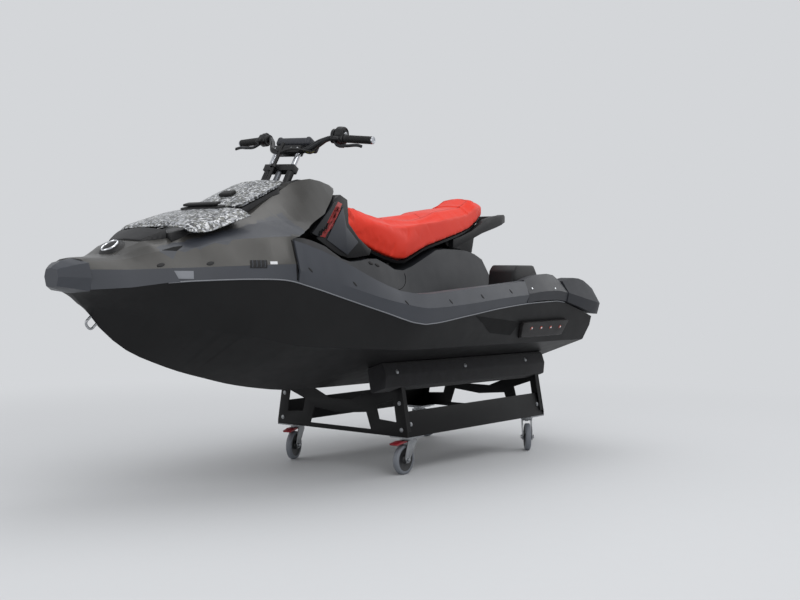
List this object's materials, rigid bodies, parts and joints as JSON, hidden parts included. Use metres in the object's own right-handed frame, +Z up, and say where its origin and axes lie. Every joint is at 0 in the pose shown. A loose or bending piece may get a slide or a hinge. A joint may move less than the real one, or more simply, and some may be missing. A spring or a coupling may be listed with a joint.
{
  "type": "two-seat personal watercraft on a four-caster display dolly",
  "caption": "Light runabout watercraft with a bronze-grey hood, red saddle, raised handlebar, jet pump and reverse gate, standing on a black wheeled display dolly.",
  "frame": {"origin": "on the floor under the middle of the craft, at the centre of its length and beam", "axes": "+X towards the bow, +Y to port, +Z up"},
  "size_m": [2.79, 1.18, 1.4275],
  "materials": {
    "hull_black": "matt, moulded",
    "deck_grey": "satin, moulded",
    "hood_bronze": "metallic satin",
    "rail_slate": "satin, moulded",
    "black_trim": "matt",
    "bumper_rubber": "matt",
    "seat_red": "satin vinyl",
    "speckled": "mottled print",
    "red_trim": "satin",
    "mat_foam": "ribbed foam",
    "cast_alloy": "cast",
    "bright_alloy": "satin",
    "stainless": "brushed",
    "grip_rubber": "matt",
    "sponson_brown": "matt",
    "dolly_black": "powder coat",
    "carpet": "carpet",
    "zinc": "zinc plated",
    "wheel_grey": "satin",
    "brake_red": "satin",
    "engine_alloy": "cast"
  },
  "bodies": {
    "craft": {"hull": "hull_black", "hood": "hood_bronze", "bow_cap": "rail_slate", "deck": "deck_grey", "side_rails": "rail_slate", "rear_side_caps": "deck_grey", "rear_corner_bumpers": "bumper_rubber", "seat": "seat_red", "seat_pan": "black_trim", "seat_support": "black_trim", "grab_handle": "black_trim", "foot_wedges": "black_trim", "footwell_mats": "mat_foam", "boarding_pad": "mat_foam", "shroud": "rail_slate", "knee_panels": "rail_slate", "accent_strips": "red_trim", "hood_trims": "deck_grey", "lid_frames": "deck_grey", "front_bin": "black_trim", "glovebox_tub": "black_trim", "sponsons": "sponson_brown", "tow_eyes": "stainless", "engine_block": "engine_alloy", "jet_pump": "cast_alloy", "ride_plate": "cast_alloy", "intake_grate": "cast_alloy", "steering_head": "cast_alloy", "console_cover": "black_trim", "dolly_end_plates": "dolly_black", "dolly_sides": "dolly_black", "dolly_bunks": "carpet", "caster_mounts": "zinc"},
    "front_lid": {"front_lid": "speckled", "front_latch": "black_trim"},
    "glovebox_lid": {"glovebox_lid": "speckled", "glovebox_latch": "black_trim"},
    "steering_base": {"steering_base": "black_trim"},
    "handlebar": {"riser_tubes": "bright_alloy", "handlebar": "bright_alloy", "bar_clamp": "black_trim", "grips": "grip_rubber", "bar_end_rings": "bright_alloy", "bar_controls": "black_trim", "bar_pad": "grip_rubber", "cable_bundle": "grip_rubber"},
    "rotor": {"impeller": "stainless", "drive_shaft": "stainless"},
    "nozzle": {"steering_nozzle": "cast_alloy"},
    "gate": {"reverse_gate": "black_trim"},
    "fork_front_port": {"caster_fork_front_port": "zinc", "caster_brake_front_port": "brake_red"},
    "wheel_front_port": {"caster_wheel_front_port": "wheel_grey"},
    "fork_front_starboard": {"caster_fork_front_starboard": "zinc", "caster_brake_front_starboard": "brake_red"},
    "wheel_front_starboard": {"caster_wheel_front_starboard": "wheel_grey"},
    "fork_rear_port": {"caster_fork_rear_port": "zinc"},
    "wheel_rear_port": {"caster_wheel_rear_port": "wheel_grey"},
    "fork_rear_starboard": {"caster_fork_rear_starboard": "zinc"},
    "wheel_rear_starboard": {"caster_wheel_rear_starboard": "wheel_grey"}
  },
  "joints": [
    {"name": "front_lid_hinge", "type": "hinge", "parent": "craft", "child": "front_lid", "pos_m": [0.977, 0, 1.003], "axis": [0, 1, 0], "range_deg": [0, 75]},
    {"name": "glovebox_lid_hinge", "type": "hinge", "parent": "craft", "child": "glovebox_lid", "pos_m": [0.402, 0, 1.19], "axis": [0, -1, 0], "range_deg": [0, 70]},
    {"name": "steering", "type": "hinge", "parent": "craft", "child": "steering_base", "pos_m": [0.3, 0, 1.25], "axis": [-0.515, 0, 0.8572], "range_deg": [-29, 21]},
    {"name": "riser_slide", "type": "slide", "parent": "steering_base", "child": "handlebar", "axis": [-0.515, 0, 0.8572], "range_m": [-0.045, 0.03]},
    {"name": "rotor_spin", "type": "hinge", "parent": "craft", "child": "rotor", "pos_m": [-1, 0, 0.462], "axis": [1, 0, 0], "continuous": true},
    {"name": "nozzle_steer", "type": "hinge", "parent": "craft", "child": "nozzle", "pos_m": [-1.268, 0, 0.462], "axis": [0, 0, -1], "range_deg": [-26, 19]},
    {"name": "gate_swing", "type": "hinge", "parent": "craft", "child": "gate", "pos_m": [-1.22, 0, 0.462], "axis": [0, 1, 0], "range_deg": [-60, 0]},
    {"name": "swivel_front_port", "type": "hinge", "parent": "craft", "child": "fork_front_port", "pos_m": [-0.132, 0.325, 0.14], "axis": [0, 0, 1], "continuous": true},
    {"name": "roll_front_port", "type": "hinge", "parent": "fork_front_port", "child": "wheel_front_port", "pos_m": [-0.09609, 0.32751, 0.0625], "axis": [-0.0698, 0.9976, 0], "continuous": true},
    {"name": "swivel_front_starboard", "type": "hinge", "parent": "craft", "child": "fork_front_starboard", "pos_m": [-0.132, -0.325, 0.14], "axis": [0, 0, 1], "continuous": true},
    {"name": "roll_front_starboard", "type": "hinge", "parent": "fork_front_starboard", "child": "wheel_front_starboard", "pos_m": [-0.09817, -0.31269, 0.0625], "axis": [-0.342, 0.9397, 0], "continuous": true},
    {"name": "swivel_rear_port", "type": "hinge", "parent": "craft", "child": "fork_rear_port", "pos_m": [-1.015, 0.325, 0.14], "axis": [0, 0, 1], "continuous": true},
    {"name": "roll_rear_port", "type": "hinge", "parent": "fork_rear_port", "child": "wheel_rear_port", "pos_m": [-0.98742, 0.34814, 0.0625], "axis": [-0.6428, 0.766, 0], "continuous": true},
    {"name": "swivel_rear_starboard", "type": "hinge", "parent": "craft", "child": "fork_rear_starboard", "pos_m": [-1.015, -0.325, 0.14], "axis": [0, 0, 1], "continuous": true},
    {"name": "roll_rear_starboard", "type": "hinge", "parent": "fork_rear_starboard", "child": "wheel_rear_starboard", "pos_m": [-1.04618, -0.307, 0.0625], "axis": [-0.5, -0.866, 0], "continuous": true}
  ],
  "couplings": [
    {"joint": "nozzle_steer", "follows": "steering", "ratio": 0.88}
  ]
}
